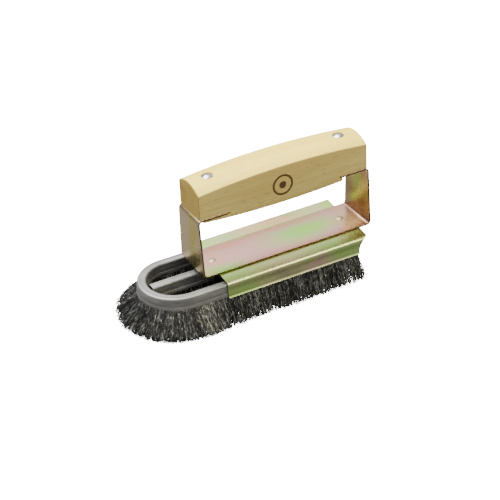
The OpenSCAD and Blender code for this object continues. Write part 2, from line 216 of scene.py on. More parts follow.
def wood(name, tones, line_strength=0.30):
    """Sanded beech with its grain along X, in the given deep, mean and light tones."""
    paint = Paint(name)
    broad = paint.noise(55, (9, 1, 1), detail=4, distortion=0.6)
    rings = paint.noise(260, (30, 1, 1), detail=3, roughness=0.6, distortion=0.4)
    fibre = paint.noise(1900, (22, 1, 1), detail=2, roughness=0.7)
    fleck = paint.noise(1150, (7, 1, 1.6), detail=1, roughness=0.3, offset=(3, 5, 7))
    colour = paint.ramp(broad, list(zip((0.30, 0.52, 0.75), tones)))
    lines = paint.ramp(rings, [(0.40, 1.0), (0.66, 0.0)])
    colour = paint.mix(paint.math("MULTIPLY", lines, line_strength), colour, WOOD_LINE)
    threads = paint.math("MULTIPLY", paint.ramp(fibre, [(0.35, 1.0), (0.6, 0.0)]), 0.22)
    colour = paint.mix(threads, colour, WOOD_LINE)
    specks = paint.math("MULTIPLY", paint.ramp(fleck, [(0.66, 0.0), (0.72, 1.0)]), 0.28)
    colour = paint.mix(specks, colour, WOOD_FLECK)
    burnt = burnt_mark(paint)
    colour = paint.mix(paint.math("MULTIPLY", burnt, 0.93), colour, BURNT_WOOD)
    height = paint.math("MULTIPLY", rings, 0.4)
    height = paint.math("ADD", paint.math("MULTIPLY", fibre, 0.6), height)
    height = paint.math("SUBTRACT", height, paint.math("MULTIPLY", burnt, 1.5))
    rough = paint.math("MULTIPLY_ADD", fibre, 0.25, 0.45)
    return paint.finish(Base_Color=colour, Roughness=rough, Specular_IOR_Level=0.3,
                        Coat_Weight=0.05, Coat_Roughness=0.4,
                        Normal=paint.bump(height, 0.35, 0.12 * MM))


def chromate(name, ground, patches, seed=0, roughness=0.24):
    """Yellow chromate on zinc plate. ground is the ramp of its drifting tints and patches are the
    larger stains, each (centre, reach, colour, strength) in millimetres. Cut edges are darker:
    partly raw cut steel, partly painted shade."""
    paint = Paint(name)
    drift = paint.noise(30, (2.6, 1, 1), detail=3, roughness=0.45, distortion=0.9,
                        offset=(seed, 0.3 * seed, 0))
    colour = paint.ramp(drift, ground, "EASE")
    at = paint.warped(45, 14 * MM)
    for centre, reach, tint, strength in patches:
        amount = paint.math("MULTIPLY", paint.patch(at, centre, reach), strength)
        colour = paint.mix(amount, colour, tint)
    mottle = paint.noise(420, (1.5, 1, 1), detail=4, roughness=0.6)
    colour = paint.mix(paint.math("MULTIPLY", mottle, 0.16), colour, CHROMATE_GREY)
    lines = paint.noise(1500, (60, 1, 1), detail=2, roughness=0.6)
    edge = paint.attribute("edge")
    # Cut edges are darkened: partly raw cut steel, partly painted shade
    colour = paint.mix(paint.math("MULTIPLY", edge, 0.85), colour, CUT_EDGE_AND_SHADE)
    rough = paint.math("MULTIPLY_ADD", mottle, 0.16, roughness - 0.06)
    rough = paint.math("MULTIPLY_ADD", lines, 0.08, rough)
    rough = paint.math("MULTIPLY_ADD", edge, 0.2, rough)
    height = paint.math("MULTIPLY_ADD", lines, 0.5, paint.math("MULTIPLY", mottle, 0.7))
    return paint.finish(Base_Color=colour, Metallic=1.0, Roughness=rough,
                        Normal=paint.bump(height, 0.22, 0.05 * MM))


def bright_zinc(name):
    """Bright rivet steel with hammer marks and fine scratches."""
    paint = Paint(name)
    dents = paint.noise(700, detail=2)
    scratch = paint.noise(2600, (1, 14, 1), detail=1)
    colour = paint.ramp(dents, [(0.3, "8E8E8A"), (0.7, "CCCCC8")])
    rough = paint.math("MULTIPLY_ADD", scratch, 0.2, 0.16)
    height = paint.math("ADD", dents, paint.math("MULTIPLY", scratch, 0.2))
    return paint.finish(Base_Color=colour, Metallic=1.0, Roughness=rough,
                        Normal=paint.bump(height, 0.4, 0.12 * MM))


def strip_steel(name):
    """Rolled strip: clouded satin grey with a fine grain and darker streaks along its length."""
    paint = Paint(name)
    cloud = paint.noise(110, (2, 2, 0.6), detail=4, roughness=0.6)
    grain = paint.noise(1600, (1, 1, 0.5), detail=3, roughness=0.7)
    _, _, z = paint.axes()
    height_only = paint.add("ShaderNodeCombineXYZ", {"Z": z}).outputs[0]
    streak = paint.add("ShaderNodeTexNoise", {"Vector": height_only, "Scale": 2600.0,
                                              "Detail": 2.0}).outputs["Fac"]
    colour = paint.ramp(cloud, [(0.3, "7E7E7D"), (0.5, "989896"), (0.72, "B0B0AC")])
    colour = paint.mix(paint.math("MULTIPLY", grain, 0.35), colour, "4A4A4A")
    colour = paint.mix(paint.math("MULTIPLY", streak, 0.35), colour, "3C3C3B")
    rough = paint.math("MULTIPLY_ADD", grain, 0.2, 0.34)
    height = paint.math("MULTIPLY_ADD", streak, 0.8, grain)
    return paint.finish(Base_Color=colour, Metallic=0.6, Roughness=rough,
                        Normal=paint.bump(height, 0.25, 0.05 * MM))


def wire_steel(name):
    """Dark wire with painted glints. The mesh holds a tone for every wire and a painted glint for
    every crimp, and noise adds more painted glints to the colour.
    """
    paint = Paint(name)
    tone_and_painted_glints = paint.attribute("shade")
    # Painted glints: the crimp values and this noise brighten the colour where real wires catch the
    # light
    glint = paint.noise(2200, detail=2, roughness=0.7)
    value = paint.math("MULTIPLY_ADD", glint, 0.5, paint.math("MULTIPLY_ADD", tone_and_painted_glints, 0.9, -0.2))
    colour = paint.ramp(value, [(0.1, "242423"), (0.45, "525250"), (0.85, "E0E0D8")])
    rough = paint.math("MULTIPLY_ADD", glint, 0.25, 0.28)
    return paint.finish(Base_Color=colour, Metallic=0.7, Roughness=rough,
                        Normal=paint.bump(glint, 0.3, 0.05 * MM))


# ---------- mesh helpers ----------

def new_object(name, mesh):
    piece = bpy.data.objects.new(name, mesh)
    bpy.context.scene.collection.objects.link(piece)
    return piece


def mesh_piece(name, bm):
    """An object made from a mesh under construction, which is used up."""
    mesh = bpy.data.meshes.new(name)
    bm.to_mesh(mesh)
    bm.free()
    return new_object(name, mesh)


def skin(bm, loops):
    """Faces between each loop of vertices and the next, and a cap at each end."""
    for a, b in zip(loops, loops[1:]):
        for i in range(len(a)):
            j = (i + 1) % len(a)
            bm.faces.new((a[i], b[i], b[j], a[j]))
    bm.faces.new(loops[0])
    bm.faces.new(reversed(loops[-1]))
    bmesh.ops.recalc_face_normals(bm, faces=bm.faces)


def shade(mesh, angle):
    """Smooth shading, with sharp edges where faces meet at more than angle, in degrees."""
    mesh.shade_smooth()
    mesh.set_sharp_from_angle(angle=math.radians(angle))


def fillet(corner, before, after, radius, steps):
    """Arc of steps + 1 points that rounds a left turn between two unit directions, and how far
    from the corner it starts."""
    turn = math.acos(max(-1, min(1, before.dot(after))))
    reach = radius * math.tan(turn / 2)
    start = corner - before * reach
    centre = start + Vector((-before.y, before.x)) * radius
    arm = start - centre
    return [centre + Vector((arm.x * math.cos(a) - arm.y * math.sin(a),
                             arm.x * math.sin(a) + arm.y * math.cos(a)))
            for a in (turn * i / steps for i in range(steps + 1))], reach


def cutter(bounds_mm):
    """A box, in millimetres, that cuts a slot."""
    (x0, y0, z0), (x1, y1, z1) = bounds_mm
    bm = bmesh.new()
    bmesh.ops.create_cube(bm, size=1)
    for v in bm.verts:
        x, y, z = v.co
        v.co = Vector((x0 if x < 0 else x1, y0 if y < 0 else y1, z0 if z < 0 else z1)) * MM
    return mesh_piece("cutter", bm)


def round_cutter(x, radius, z0, z1, flare=0.0):
    """A peg that cuts an upright hole at x, from z0 up to z1, wider by flare at its top."""
    bm = bmesh.new()
    bmesh.ops.create_cone(bm, cap_ends=True, segments=64, radius1=radius, radius2=radius + flare,
                          depth=z1 - z0)
    bmesh.ops.translate(bm, verts=bm.verts, vec=(x, 0, (z0 + z1) / 2))
    return mesh_piece("cutter", bm)


def carve(piece, cutters):
    """Cuts each cutter out of the piece and removes it."""
    for tool in cutters:
        cut = piece.modifiers.new("cut", "BOOLEAN")
        cut.object, cut.operation, cut.solver = tool, "DIFFERENCE", "EXACT"
        bpy.context.view_layer.update()
        graph = bpy.context.evaluated_depsgraph_get()
        carved = bpy.data.meshes.new_from_object(piece.evaluated_get(graph))
        piece.modifiers.clear()
        piece.data = carved
        bpy.data.objects.remove(tool)


# ---------- handle ----------

EDGE_R = 0.8 * MM          # eased side edges
BACK_R = 5.5 * MM          # lower back edge
END_R = 0.8 * MM           # eased end edges
CROWN_STEPS = 28
FILLET_STEPS = 6
HANDLE_STATIONS = 56

# In millimetres, from the flanges' upper face: each value at the handle's ends, and its change
# from there to the middle
ARRIS_H, ARRIS_RISE = 19.28, 4.17   # height of the crown's side edges
CROWN_H, CROWN_FALL = 4.9, 2.2      # height of the crown above its side edges
UNDER_H, BELLY = 2.61, 3.42         # depth of the wood below

# In millimetres: the cuts for the bracket and the rivets
FLANGE_TIP = 46.0                   # where a flange ends, from the middle of the handle
SLOT_BELOW, SLOT_ABOVE = 1.6, 0.1   # the slot's reach below and above the flange's upper face
SLOT_LONGER = 2.2                   # how far the left slot runs past the flange's tip
LEG_CUT = 3.2                       # depth of the cut for the left leg, from the end of the wood
REBATE_GAP = 1.1                    # how far the right cut runs past the flange's tip
REBATE_STEP = 1.2                   # how far outside the tip the wood below the flange stops
SHANK_HOLE_R = 2.42
HEAD_GAP, HEAD_FLARE = 0.15, 0.8    # room round a rivet's head, and how much it widens upwards
HEAD_SINK, HEAD_OUT = 1.55, 1.5     # the cut's reach below and above the head's top


def handle_section(x, inset):
    """Outline across the handle at x, as (y, z), shrunk by inset."""
    middle = 1 - (x / HALF_LENGTH) ** 2
    arris = FLANGE_TOP + (ARRIS_H + ARRIS_RISE * middle) * MM
    crown = (CROWN_H - CROWN_FALL * middle) * MM
    low = FLANGE_TOP - (UNDER_H + BELLY * middle) * MM
    half = HALF_WIDTH
    crown_r = (half ** 2 + crown ** 2) / (2 * crown)
    crown_centre = Vector((0, arris + crown - crown_r))
    edge_angle = math.asin(half / crown_r)
    slope = Vector((-math.cos(edge_angle), math.sin(edge_angle)))
    up, down = Vector((0, 1)), Vector((0, -1))
    points, _ = fillet(Vector((half, low)), Vector((1, 0)), up, BACK_R, 10)
    right, reach = fillet(Vector((half, arris)), up, slope, EDGE_R, FILLET_STEPS)
    points += right
    span = edge_angle - reach / crown_r
    for i in range(1, CROWN_STEPS):
        a = span * (1 - 2 * i / CROWN_STEPS)
        points.append(crown_centre + Vector((math.sin(a), math.cos(a))) * crown_r)
    left, _ = fillet(Vector((-half, arris)), Vector((slope.x, -slope.y)), down, EDGE_R,
                     FILLET_STEPS)
    points += left
    points += fillet(Vector((-half, low)), down, Vector((1, 0)), EDGE_R, FILLET_STEPS)[0]
    centre = Vector((0, (low + arris + crown) / 2))
    shrink_y = 1 - inset / half
    shrink_z = 1 - inset / ((arris + crown - low) / 2)
    return [(p.x * shrink_y, centre.y + (p.y - centre.y) * shrink_z) for p in points]


def make_handle():
    """The wooden bar, cut for the bracket's flanges and legs and for the rivets."""
    steps = 6
    stations = [(-(HALF_LENGTH - END_R * (1 - math.cos(a))), END_R * (1 - math.sin(a)))
                for a in (math.pi / 2 * i / steps for i in range(steps))]
    flat = HALF_LENGTH - END_R
    stations += [(-flat + 2 * flat * i / HANDLE_STATIONS, 0.0) for i in range(HANDLE_STATIONS + 1)]
    stations += [(-x, inset) for x, inset in reversed(stations[:steps])]
    bm = bmesh.new()
    rings = [[bm.verts.new((x, y, z)) for y, z in handle_section(x, inset)]
             for x, inset in stations]
    skin(bm, rings)
    piece = mesh_piece("handle_wood", bm)
    cut_handle(piece)
    mesh = piece.data
    shade(mesh, 35)
    mesh.materials.append(wood("beech_side", SIDE_WOOD))
    mesh.materials.append(wood("beech_crown_painted_light", CROWN_WOOD_LIT, 0.15))
    mesh.materials.append(wood("beech_end_grain", END_WOOD))
    # Faces that point up take the crown's copy, painted lighter and yellower for the light from
    # above
    for face in mesh.polygons:
        at_end = abs(face.center.x) > HALF_LENGTH - 1.2 * MM and abs(face.normal.x) > 0.6
        face.material_index = 2 if at_end else 1 if face.normal.z > 0.6 else 0
    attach(piece, "frame")
    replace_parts(piece, "handle")


def cut_handle(piece):
    """Cuts the left slot, the right rebate, the room for the legs and the rivets' holes."""
    flange_top = FLANGE_TOP / MM
    slot_low, slot_high = flange_top - SLOT_BELOW, flange_top + SLOT_ABOVE
    over = 1                           # how far the cutters stand out of the ends,
    wide, deep, tall = 20, 12, 5       # out of the sides, below the flanges and above the rivets
    end = HALF_LENGTH / MM + over
    below = flange_top - deep
    carve(piece, [
        cutter([(-end, -wide, slot_low), (-FLANGE_TIP + SLOT_LONGER, wide, slot_high)]),
        cutter([(-end, -wide, below), (-end + over + LEG_CUT, wide, slot_high)]),
        cutter([(FLANGE_TIP - REBATE_GAP, -wide, slot_low), (end, wide, slot_high)]),
        cutter([(FLANGE_TIP + REBATE_STEP, -wide, below), (end, wide, slot_high)])])
    for side in (-1, 1):
        x = side * RIVET_X
        carve(piece, [round_cutter(x, SHANK_HOLE_R * MM, below * MM, RIVET_TOP + tall * MM),
                      round_cutter(x, HEAD_R + HEAD_GAP * MM, RIVET_TOP - HEAD_SINK * MM,
                                   RIVET_TOP + HEAD_OUT * MM, HEAD_FLARE * MM)])


# ---------- sheet metal ----------

def sweep(name, rings, angle, edges=None):
    """A closed skin through rings that all have the same number of points, sharp where it turns
    by more than angle. edges says how much each of a ring's points belongs to a cut edge, from 0
    to 1."""
    bm = bmesh.new()
    layer = bm.verts.layers.float.new("edge")
    loops = []
    for ring in rings:
        loop = [bm.verts.new(p) for p in ring]
        for i, v in enumerate(loop):
            v[layer] = edges[i] if edges else 0.0
        loops.append(loop)
    skin(bm, loops)
    piece = mesh_piece(name, bm)
    shade(piece.data, angle)
    return piece


def arc(centre, radius, start, end, steps):
    """Points on an arc, from start to end in degrees, both included."""
    angles = [math.radians(start + (end - start) * i / steps) for i in range(steps + 1)]
    return [(centre[0] + radius * math.cos(a), centre[1] + radius * math.sin(a)) for a in angles]


# The bracket, in millimetres
SHEET_T = 1.5
SHEET_ROUND = 0.3                  # radius of the sheet's cut edges
BEND_MID_R = 2.75                  # bend radius to the middle of the sheet
LEG_LEAN = 0.4                     # how far each leg leans out at its top
LEG_X = bracket_hi.x / MM - LEG_LEAN - SHEET_T / 2   # middle of a leg's sheet at its foot
BASE_HALF, FLANGE_HALF = 17.5, 15.2
TAPER_BELOW, TAPER_ABOVE = 3, 2    # the legs narrow between these distances from their ends


def bracket_half_path(side):
    """The middle of the sheet from the base plate's middle to one flange's tip, as (x, z, angle of
    the sheet's direction) in millimetres and degrees."""
    foot, top = bracket_lo.z / MM + SHEET_T / 2, FLANGE_TOP / MM - SHEET_T / 2
    tilt = math.degrees(math.atan(LEG_LEAN / (top - foot)))
    steps = 8
    ankle = arc((LEG_X - BEND_MID_R, foot + BEND_MID_R), BEND_MID_R, -90, -tilt, steps)
    x_top = LEG_X + LEG_LEAN
    knee = arc((x_top - BEND_MID_R, top - BEND_MID_R), BEND_MID_R, -tilt, 90, steps)
    (x0, z0), (x1, z1) = ankle[-1], knee[0]
    upright = 90 - tilt
    path = [(x, foot, 0) for x in (0, 20, 40, 55)]
    path += [(x, z, upright * i / steps) for i, (x, z) in enumerate(ankle)]
    path += [(x0 + (x1 - x0) * s, z0 + (z1 - z0) * s, upright) for s in (0.1, 0.3, 0.5, 0.7, 0.9)]
    path += [(x, z, upright + (90 + tilt) * i / steps) for i, (x, z) in enumerate(knee)]
    path += [(x, top, 180) for x in (58, 50, FLANGE_TIP)]
    return [(side * x, z, a if side > 0 else 180 - a) for x, z, a in path]


def make_bracket():
    """The bridge: one strip of sheet, bent four times."""
    foot, top = bracket_lo.z / MM + SHEET_T / 2, FLANGE_TOP / MM - SHEET_T / 2
    left, right = bracket_half_path(-1), bracket_half_path(1)
    path = [(x, z, a + 180) for x, z, a in reversed(left)] + right[1:]
    taper = top - foot - TAPER_BELOW - TAPER_ABOVE
    rings = []
    for x, z, angle in path:
        share = min(1, max(0, (z - foot - TAPER_BELOW) / taper))
        half = BASE_HALF + (FLANGE_HALF - BASE_HALF) * share
        normal = Vector((-math.sin(math.radians(angle)), math.cos(math.radians(angle))))
        ring = []
        for cy, cn, start in ((1, 1, 0), (-1, 1, 90), (-1, -1, 180), (1, -1, 270)):
            corner = (cy * (half - SHEET_ROUND), cn * (SHEET_T / 2 - SHEET_ROUND))
            ring += arc(corner, SHEET_ROUND, start, start + 90, 3)
        rings.append([Vector((x + n * normal.x, y, z + n * normal.y)) * MM for y, n in ring])
    edges = [1, 0.7, 0.3, 0, 0, 0.3, 0.7, 1] * 2   # round each ring's four corners
    piece = sweep("bracket_strip", rings, 40, edges)
    piece.data.materials.append(bracket_finish())
    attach(piece, "frame")
    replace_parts(piece, "bracket")


# The carrier, in millimetres
CARRIER_T = 1.1
FLAT_HALF = 18                     # half width of the flat back
RIDGE_R = 2.6                      # outer radius of the shoulders
FRONT_DROP, BACK_DROP = 0.9, -1.5  # from the flat top down to each shoulder
LIP_IN = 28.85                     # inner face of a lip, away from its waist
LIP_HIGH, LIP_LOW = 31.8, 22.9     # heights of a lip's ends
WAIST_LOW, WAIST_IN = 24.6, 0.5    # where the waist starts, and its depth
FLARE_HIGH, FLARE_OUT = 24.3, 0.85   # where the flare starts, and its reach
END_CURVE = 12                     # length of the rail's right end, where it is cut back
STOP_INSET, STOP_H = 8.0, 5.45     # how far the end stops stand in, and their height
STOP_ROUND = 0.25


def lip_outer(z):
    """Outer face of a lip at a height: pressed in at its waist and flared at its bottom."""
    up = min(1, max(0, (z - WAIST_LOW) / (LIP_HIGH - WAIST_LOW)))
    waist = WAIST_IN * math.sin(math.pi * up) ** 1.5
    flare = FLARE_OUT * max(0, (FLARE_HIGH - z) / (FLARE_HIGH - LIP_LOW)) ** 1.4
    return LIP_IN + CARRIER_T - waist + flare


def half_carrier_section(top, drop):
    """Outer and inner outline of half the rail, from its middle down to a lip's end and back."""
    out_y = LIP_IN + CARRIER_T
    slope = math.degrees(math.atan(drop / (out_y - RIDGE_R - FLAT_HALF)))
    centre = (out_y - RIDGE_R, top - drop - RIDGE_R)
    steps = 22
    heights = [LIP_HIGH - (LIP_HIGH - LIP_LOW) * i / steps for i in range(steps + 1)]
    flat = (FLAT_HALF / 2, FLAT_HALF - 0.8)
    outer = [(0, top)] + [(y, top) for y in flat] + [(FLAT_HALF, top - 0.02 * drop)]
    outer += arc(centre, RIDGE_R, 90 - slope, 0, 12)
    outer += [(lip_outer(z), z) for z in heights]
    inner = [(lip_outer(z) - CARRIER_T, z) for z in reversed(heights)]
    inner += arc(centre, RIDGE_R - CARRIER_T, 0, 90 - slope, 8)
    inner += [(y, top - CARRIER_T) for y in (FLAT_HALF, *reversed(flat), 0)]
    return outer, inner


def make_carrier():
    """The rail: a flat back with two shoulders and two lips, cut back at the right end."""
    carrier_lo, carrier_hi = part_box("carrier")
    top, start, end = bracket_lo.z / MM, carrier_lo.x / MM, carrier_hi.x / MM
    front_outer, front_inner = half_carrier_section(top, FRONT_DROP)
    back_outer, back_inner = half_carrier_section(top, BACK_DROP)
    section = back_outer + back_inner
    section += [(-y, z) for y, z in reversed(front_outer[1:] + front_inner[:-1])]

    def right_end(z):
        """Where the rail ends at a height: a quarter ellipse below the ridge."""
        share = min(1, max(0, (z - LIP_LOW) / (top - FRONT_DROP - LIP_LOW)))
        return end - STOP_INSET * math.sqrt(1 - share ** 2)

    curve_x = end - END_CURVE
    rings = [[Vector((x, y, z)) * MM for y, z in section]
             for x in (start, start / 2, 0, end / 2, curve_x)]
    for share in (0.5, 1.0):
        rings.append([Vector((curve_x + (right_end(z) - curve_x) * share, y, z)) * MM
                      for y, z in section])
    piece = sweep("carrier_rail", rings, 30)
    piece.data.materials.append(carrier_finish())
    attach(piece, "frame")
    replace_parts(piece, "carrier")
    make_end_stops(end - STOP_INSET - CARRIER_T, piece.data.materials[0])


def make_end_stops(left, finish):
    """The two tabs, turned in from the lips, that the strips' ends meet."""
    x0, x1 = left + STOP_ROUND, left + CARRIER_T - STOP_ROUND
    z0, z1 = LIP_LOW + STOP_ROUND, LIP_LOW + STOP_H - STOP_ROUND
    outline = []
    for corner, start in (((x0, z0), 180), ((x1, z0), 270), ((x1, z1), 0), ((x0, z1), 90)):
        outline += arc(corner, STOP_ROUND, start, start + 90, 2)
    for side in (-1, 1):
        rings = [[Vector((x, side * y, z)) * MM for x, z in outline] for y in (21.4, 23, 26, 29.2)]
        stop = sweep(f"end_stop_{'front' if side < 0 else 'back'}", rings, 30)
        stop.data.materials.append(finish)
        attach(stop, "frame")


CHANNEL_T = 0.8                    # sheet of the folded strips, in millimetres
SHOULDER_R = 1.2


def channel_section():
    """Section of a folded strip as [(offset, z)] in millimetres: rounded shoulders, a fine line
    rolled into its top, a groove above the bead on each side and walls of sheet."""
    low, top = TRIM / MM, u_hi.z / MM
    w, t = STRIP_HALF / MM, CHANNEL_T
    bead = [(w - 0.4, low), (w - 0.15, low + 0.1), (w - 0.02, low + 0.45), (w, low + 1.2),
            (w - 0.02, low + 2.2), (w - 0.12, low + 2.7), (w - 0.38, low + 3.1),
            (w - 0.45, low + 3.5), (w - 0.38, low + 3.9), (w - 0.30, low + 4.3)]
    wall = [(w - 0.32, low + 5.6), (w - 0.5, top - 1.8)]
    outside = bead + wall + arc((w - 1.8, top - SHOULDER_R), SHOULDER_R, 0, 90, 6)
    outside += [(w - 2.6, top), (w - 2.8, top - 0.25), (w - 3.2, top - 0.25), (w - 3.4, top)]
    inside = [(-y, z) for y, z in reversed(bead + wall)]
    shoulder = arc((-(w - 1.8), top - 1.5), 1.5, 90, 180, 6)   # rounder towards the U's inside
    half = [(w - t, low), (w - t, low + 2.6), (w - t - 0.45, low + 3.5), (w - t - 0.3, top - 3),
            (w - t - 0.1, top - 1.4), (w - t - 0.7, top - t)]
    hollow = [(-y, z) for y, z in half] + half[::-1]
    return outside + shoulder + inside + hollow


def make_channels():
    """The two folded strips: one bent into a U, one straight between its legs."""
    section = channel_section()
    steel = strip_steel("strip_steel")
    steps = 64
    half_leg = (LEG_END_X + BEND_X) / 2
    ways = [(LEG_END_X, 90), (half_leg, 90)]
    ways += [(BEND_X, 90 - 180 * i / steps) for i in range(steps + 1)]
    ways += [(half_leg, -90), (LEG_END_X, -90)]
    rings = []
    for x, angle in ways:
        out = Vector((-math.cos(math.radians(angle)), -math.sin(math.radians(angle)), 0))
        rings.append([Vector((x, 0, z * MM)) + out * (BEND_R + y * MM) for y, z in section])
    bent = sweep("u_channel", rings, 32)
    rings = [[Vector((x, y * MM, z * MM)) for y, z in section]
             for x in (mid_lo.x, mid_lo.x / 2, 0, mid_hi.x)]
    straight = sweep("centre_channel", rings, 32)
    for piece, node in ((bent, "u_strip_channel"), (straight, "centre_strip_channel")):
        piece.data.materials.append(steel)
        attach(piece, "brush_insert")
        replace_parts(piece, node)


# ---------- wires ----------

WIRE_R = 0.17 * MM
WIRE_STEPS = 11                    # each step is half a crimp
CRIMP_DEPTH = 0.32 * MM
ROOT_HALF = 2.3 * MM               # the wires start this far to each side in their channel
ROOT_UP = 1.5 * MM                 # and this far up in it
WIRES_A_MM = 44                    # wires in each millimetre of strip
BEND_DENSER = 1.4                  # the bend's wires fan out, so it takes more of them
CENTRE_THIN = 0.55                 # the middle strip shows less and has fewer wires
LEG_PAINTED_LIGHT, BEND_PAINTED_SHADE = 0.12, -0.05   # painted light and shade: the legs' wires, which get less light from above, are painted brighter than the bend's
WIRE_FREE = 22                     # usual free length in millimetres, for the leans below
BEND_LEAN = math.asin(16.2 / WIRE_FREE)   # lean of the outermost wires round the bend,
MOUTH_LEAN = math.asin(8.2 / WIRE_FREE)   # where they enter the carrier
END_LEAN = math.asin(5 / WIRE_FREE)       # and at the right end of each piece of leg
INNER_LEAN = math.asin(10 / WIRE_FREE)    # of the U's innermost wires, towards the middle
CENTRE_LEAN = math.asin(9.6 / WIRE_FREE)  # of the straight strip's outermost wires
END_TILT = math.asin(5.5 / WIRE_FREE)     # tilt along X of the last wires before an end
END_REACH = 12 * MM                # length over which that tilt grows
TILT_SPREAD = 0.06                 # standard deviation of each wire's tilt along the strip
LEAN_SPREAD, CENTRE_SPREAD = 0.09, 0.16   # and of its lean across it, as shares of the lean
LENGTH_MEAN, LENGTH_SPREAD = 0.99, 0.035   # of a wire, as shares of the free length
LENGTH_LEAST, LENGTH_MOST = 0.85, 1.06
BOW_SPREAD, BOW_MOST = 0.6, 1.3    # sideways at a wire's tip, in millimetres


def unit(v):
    return v / np.linalg.norm(v, axis=-1, keepdims=True)


def make_wires(name, root, way, length, painted_light=0.0):
    """One mesh of crimped wires, each a three-sided tube from its root along its way. Its last
    argument makes them all brighter or darker, as painted light or shade."""
    count = len(root)
    side = unit(np.cross(way, unit(rng.normal(size=(count, 3)))))
    other = np.cross(way, side)
    far = length[:, None] * np.linspace(0, 1, WIRE_STEPS + 1)
    turns = np.where(np.arange(WIRE_STEPS + 1) % 2, 1.0, -1.0)
    wave = CRIMP_DEPTH * rng.uniform(0.5, 1.4, far.shape) * turns
    bow = np.clip(rng.normal(0, BOW_SPREAD, (count, 1)), -BOW_MOST, BOW_MOST)
    bow = bow * MM * (far / TRIM) ** 2
    centre = (root[:, None] + way[:, None] * far[..., None] + side[:, None] * wave[..., None]
              + other[:, None] * bow[..., None])
    centre[..., 2] = np.maximum(centre[..., 2], WIRE_R)
    angles = np.arange(3) * 2 * np.pi / 3
    ring = (side[:, None] * np.cos(angles)[None, :, None]
            + other[:, None] * np.sin(angles)[None, :, None])
    verts = centre[:, :, None] + ring[:, None] * WIRE_R
    at = np.arange(count * (WIRE_STEPS + 1) * 3).reshape(count, WIRE_STEPS + 1, 3)
    a, b = at[:, :-1], at[:, 1:]
    a2, b2 = np.roll(a, -1, 2), np.roll(b, -1, 2)
    faces = np.concatenate([np.stack([a, b, b2], -1).reshape(-1, 3),
                            np.stack([a, b2, a2], -1).reshape(-1, 3), at[:, 0], at[:, -1, ::-1]])
    mesh = bpy.data.meshes.new(name)
    mesh.from_pydata(verts.reshape(-1, 3), [], faces)
    mesh.shade_smooth()
    # Each point's value: the painted light or shade, a random tone for each wire, and a painted
    # glint that differs at each crimp
    tone_and_painted_glints = painted_light + rng.normal(0, 0.12, (count, 1)) + rng.beta(1.2, 2.6, (count, WIRE_STEPS + 1))
    tone_and_painted_glints = np.repeat(np.clip(tone_and_painted_glints, 0, 1).ravel(), 3).astype(np.float32)
    mesh.attributes.new("shade", "FLOAT", "POINT").data.foreach_set("value", tone_and_painted_glints)
    mesh.materials.append(bpy.data.materials["wire"])
    piece = new_object(name, mesh)
    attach(piece, "brush_insert")
    return piece


def lean_wires(root, outward, along, lean, tilt):
    """Directions and lengths of wires that lean outward by one angle and along by another. A wire
    ends at the floor at the latest."""
    down = np.array([0, 0, -1.0])
    way = unit(down * np.cos(lean)[:, None] + outward * np.sin(lean)[:, None]
               + along * np.sin(tilt)[:, None])
    length = rng.normal(LENGTH_MEAN, LENGTH_SPREAD, len(root))
    length = TRIM * np.clip(length, LENGTH_LEAST, LENGTH_MOST) + ROOT_UP
    reach = (root[:, 2] - WIRE_R) / np.maximum(-way[:, 2], 0.1)
    return way, np.minimum(length, reach)


def outward_bias(count):
    """Places across a strip from -1 to 1, denser towards the outside, where the wires spread."""
    return 1 - 2 * rng.uniform(0, 1, count) ** 1.6


def u_lean(across, outer):
    """Lean of each wire of the U, from inwards at its inner edge to outer at its outer edge."""
    share = (across + 1) / 2 + rng.normal(0, LEAN_SPREAD, len(across))
    return -INNER_LEAN + (outer + INNER_LEAN) * np.clip(share, -0.05, 1.04)


def end_tilt(x, end):
    """Tilt of each wire along X: small and random, and growing over the last of the way to end."""
    grown = np.clip((x - end) / END_REACH + 1, 0, 1)
    return rng.normal(0, TILT_SPREAD, len(x)) + END_TILT * grown


def leg_wires(name, side, count, x0, x1):
    """Wires of one leg of the U from x0 to x1. Near x1 they lean out less and tilt along X."""
    x = rng.uniform(x0, x1, count)
    across = outward_bias(count)
    root = np.stack([x, side * (BEND_R + across * ROOT_HALF), np.full(count, TRIM + ROOT_UP)], -1)
    lean = u_lean(across, np.interp(x, [BEND_X, CARRIER_X, x1],
                                    [BEND_LEAN, MOUTH_LEAN, END_LEAN]))
    tilt = end_tilt(x, x1)
    outward = np.array([0, side, 0.0])
    way, length = lean_wires(root, outward, np.array([1.0, 0, 0]), lean, tilt)
    make_wires(name, root, way, length, LEG_PAINTED_LIGHT)


def bend_wires(name, count, turn0, turn1):
    """Wires of a part of the bend, between two angles from straight ahead."""
    turn = rng.uniform(turn0, turn1, count)
    outward = np.stack([-np.cos(turn), np.sin(turn), np.zeros(count)], -1)
    along = np.stack([np.sin(turn), np.cos(turn), np.zeros(count)], -1)
    across = outward_bias(count)
    root = np.array([BEND_X, 0, TRIM + ROOT_UP]) + outward * (BEND_R + across * ROOT_HALF)[:, None]
    lean = u_lean(across, BEND_LEAN)
    tilt = rng.normal(0, TILT_SPREAD, count)
    way, length = lean_wires(root, outward, along, lean, tilt)
    return make_wires(name, root, way, length, BEND_PAINTED_SHADE)


def centre_wires(name, count, x0, x1):
    """Wires of a part of the straight strip."""
    x = rng.uniform(x0, x1, count)
    across = rng.uniform(-1, 1, count)
    root = np.stack([x, across * ROOT_HALF, np.full(count, TRIM + ROOT_UP)], -1)
    lean = CENTRE_LEAN * np.clip(across + rng.normal(0, CENTRE_SPREAD, count), -1, 1)
    tilt = end_tilt(x, mid_hi.x)
    way, length = lean_wires(root, np.array([0, 1.0, 0]), np.array([1.0, 0, 0]), lean, tilt)
    return make_wires(name, root, way, length)


